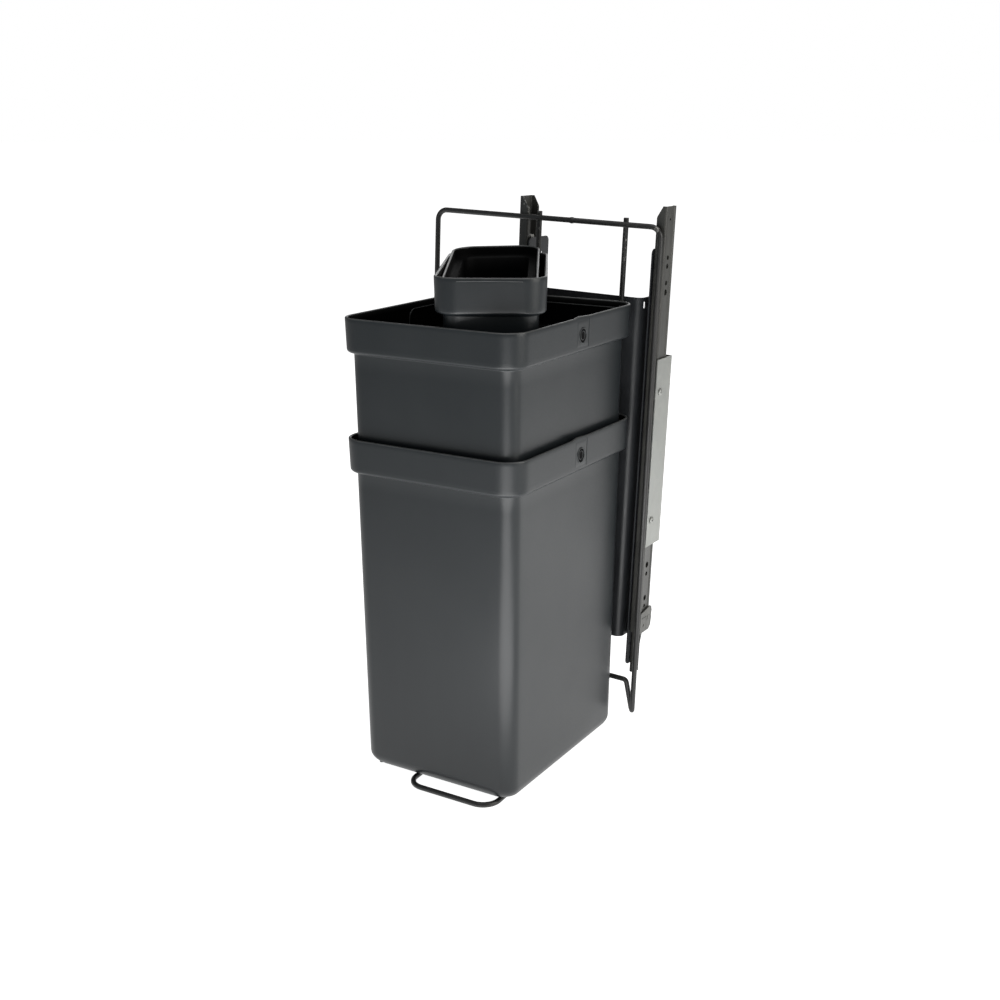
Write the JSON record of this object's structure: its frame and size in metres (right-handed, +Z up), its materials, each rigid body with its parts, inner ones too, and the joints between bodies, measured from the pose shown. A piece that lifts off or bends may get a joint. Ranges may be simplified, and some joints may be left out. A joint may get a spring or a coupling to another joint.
{
  "type": "pull-out waste sorting set",
  "caption": "Nested anthracite plastic waste bins standing on the wire hoop of an upended pull-out frame with ball-bearing slides, base tray, wire railing and galvanised mounting angles.",
  "frame": {"origin": "on the floor under the middle of the bounding box", "axes": "+Z up, bins facing -Y, slides and railing behind them on +Y, +X to the right seen from the front"},
  "size_m": [0.3117, 0.3184, 0.6165],
  "materials": {
    "bin_plastic": "fine satin texture",
    "wire_enamel": "satin powder coat",
    "sheet_enamel": "satin powder coat",
    "slide_enamel": "satin black coat, worn at the ends",
    "cage_steel": "oiled steel",
    "stop_plastic": "matte",
    "zinc_plate": "galvanised, matte grey",
    "rivet_steel": "blackened"
  },
  "bodies": {
    "frame": {"wire_railing": "wire_enamel", "hoop_wire": "wire_enamel", "base_tray": "sheet_enamel", "left_cheek_plate": "sheet_enamel", "left_inner_member": "slide_enamel", "left_end_stop": "stop_plastic", "right_cheek_plate": "sheet_enamel", "right_inner_member": "slide_enamel", "right_end_stop": "stop_plastic", "left_tray_rivet_1": "rivet_steel", "left_tray_rivet_2": "rivet_steel", "left_slide_rivet_1": "rivet_steel", "left_slide_rivet_2": "rivet_steel", "right_tray_rivet_1": "rivet_steel", "right_tray_rivet_2": "rivet_steel", "right_slide_rivet_1": "rivet_steel", "right_slide_rivet_2": "rivet_steel"},
    "left_inner_cage": {"left_inner_ball_cage": "cage_steel"},
    "left_middle": {"left_middle_member": "slide_enamel"},
    "left_outer_cage": {"left_outer_ball_cage": "cage_steel"},
    "left_cabinet_side": {"left_outer_member": "slide_enamel", "left_mounting_plate": "zinc_plate", "left_end_hook": "slide_enamel", "left_plate_screw_1": "zinc_plate", "left_plate_screw_2": "zinc_plate"},
    "right_inner_cage": {"right_inner_ball_cage": "cage_steel"},
    "right_middle": {"right_middle_member": "slide_enamel"},
    "right_outer_cage": {"right_outer_ball_cage": "cage_steel"},
    "right_cabinet_side": {"right_outer_member": "slide_enamel", "right_mounting_plate": "zinc_plate", "right_end_hook": "slide_enamel", "right_plate_screw_1": "zinc_plate", "right_plate_screw_2": "zinc_plate"},
    "lower_bin": {"large_bin_lower": "bin_plastic"},
    "upper_bin": {"large_bin_upper": "bin_plastic"},
    "small": {"small_bin": "bin_plastic"},
    "insert": {"insert_bin": "bin_plastic"}
  },
  "joints": [
    {"name": "right_slide", "type": "slide", "parent": "frame", "child": "right_cabinet_side", "axis": [0.0305, 0.0148, 0.9994], "range_m": [-0.05, 0.45]},
    {"name": "left_slide", "type": "slide", "parent": "frame", "child": "left_cabinet_side", "axis": [0.0305, 0.0148, 0.9994], "range_m": [-0.05, 0.45]},
    {"name": "left_outer_cage_run", "type": "slide", "parent": "frame", "child": "left_outer_cage", "axis": [0.0305, 0.0148, 0.9994], "range_m": [-0.0375, 0.3375]},
    {"name": "left_middle_run", "type": "slide", "parent": "frame", "child": "left_middle", "axis": [0.0305, 0.0148, 0.9994], "range_m": [-0.025, 0.225]},
    {"name": "left_inner_cage_run", "type": "slide", "parent": "frame", "child": "left_inner_cage", "axis": [0.0305, 0.0148, 0.9994], "range_m": [-0.0125, 0.1125]},
    {"name": "right_outer_cage_run", "type": "slide", "parent": "frame", "child": "right_outer_cage", "axis": [0.0305, 0.0148, 0.9994], "range_m": [-0.0375, 0.3375]},
    {"name": "right_middle_run", "type": "slide", "parent": "frame", "child": "right_middle", "axis": [0.0305, 0.0148, 0.9994], "range_m": [-0.025, 0.225]},
    {"name": "right_inner_cage_run", "type": "slide", "parent": "frame", "child": "right_inner_cage", "axis": [0.0305, 0.0148, 0.9994], "range_m": [-0.0125, 0.1125]},
    {"name": "lower_bin_lift", "type": "slide", "parent": "frame", "child": "lower_bin", "axis": [0, 0, 1], "range_m": [0, 0.3]},
    {"name": "upper_bin_lift", "type": "slide", "parent": "lower_bin", "child": "upper_bin", "axis": [0, 0, 1], "range_m": [0, 0.26]},
    {"name": "small_bin_lift", "type": "slide", "parent": "upper_bin", "child": "small", "axis": [0, 0, 1], "range_m": [0, 0.33]},
    {"name": "insert_bin_lift", "type": "slide", "parent": "small", "child": "insert", "axis": [0, 0, 1], "range_m": [0, 0.2]}
  ],
  "couplings": [
    {"joint": "left_slide", "follows": "right_slide", "ratio": 1},
    {"joint": "left_outer_cage_run", "follows": "right_slide", "ratio": 0.75},
    {"joint": "left_middle_run", "follows": "right_slide", "ratio": 0.5},
    {"joint": "left_inner_cage_run", "follows": "right_slide", "ratio": 0.25},
    {"joint": "right_outer_cage_run", "follows": "right_slide", "ratio": 0.75},
    {"joint": "right_middle_run", "follows": "right_slide", "ratio": 0.5},
    {"joint": "right_inner_cage_run", "follows": "right_slide", "ratio": 0.25}
  ]
}
